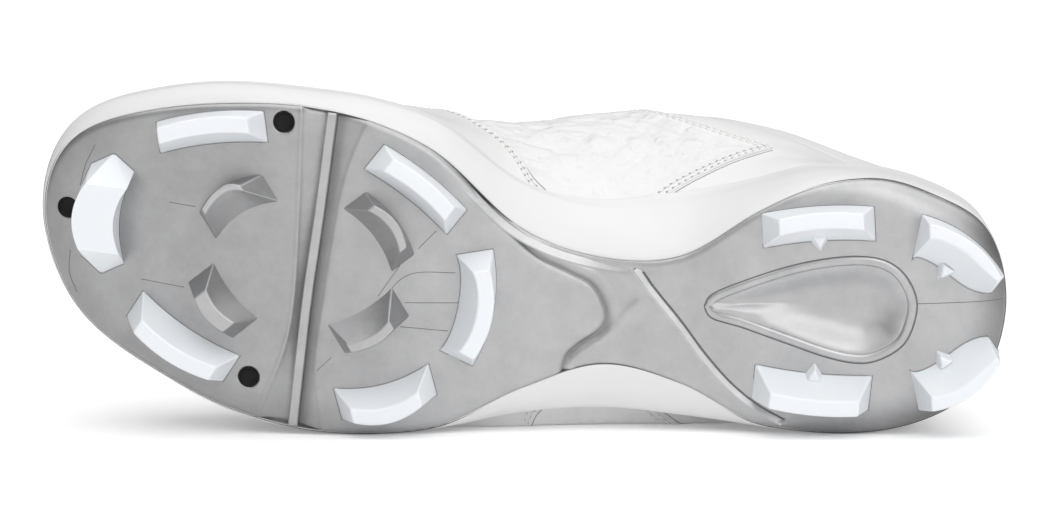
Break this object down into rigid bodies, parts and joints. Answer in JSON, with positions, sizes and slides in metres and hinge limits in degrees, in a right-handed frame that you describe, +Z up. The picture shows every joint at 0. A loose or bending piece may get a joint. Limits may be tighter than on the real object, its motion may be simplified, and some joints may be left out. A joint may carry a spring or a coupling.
{
  "type": "softball cleat",
  "caption": "Low-cut right softball cleat with a white synthetic upper, a silver-grey moulded plate and wedge-shaped studs, lying on its side with the sole in view.",
  "frame": {"origin": "on the floor, at the middle of the lying shoe's bounding box", "axes": "+X from toe to heel, -Y where the sole faces, +Z up from the lateral side on the floor to the medial side"},
  "size_m": [0.28, 0.1262, 0.1017],
  "materials": {
    "plate": "satin silver-grey, fine grain",
    "stud": "smooth white, slightly glossy",
    "insert": "black, dull",
    "foam": "smooth white moulded foam",
    "upper": "white synthetic leather, part smooth and part crinkled",
    "lining": "white knit",
    "lace": "white braid"
  },
  "bodies": {
    "root": {"outsole": "plate", "stud_toe": "stud", "stud_medial_front": "stud", "stud_lateral_front": "stud", "stud_medial_rear": "stud", "stud_rear": "stud", "stud_lateral_rear": "stud", "stud_heel_medial_front": "stud", "stud_heel_medial_rear": "stud", "stud_heel_lateral_front": "stud", "stud_heel_lateral_rear": "stud", "insert_toe": "insert", "insert_medial": "insert", "insert_lateral": "insert", "midsole": "foam", "upper": "upper", "tongue": "lining", "insole": "lining", "lace": "lace"}
  },
  "joints": []
}
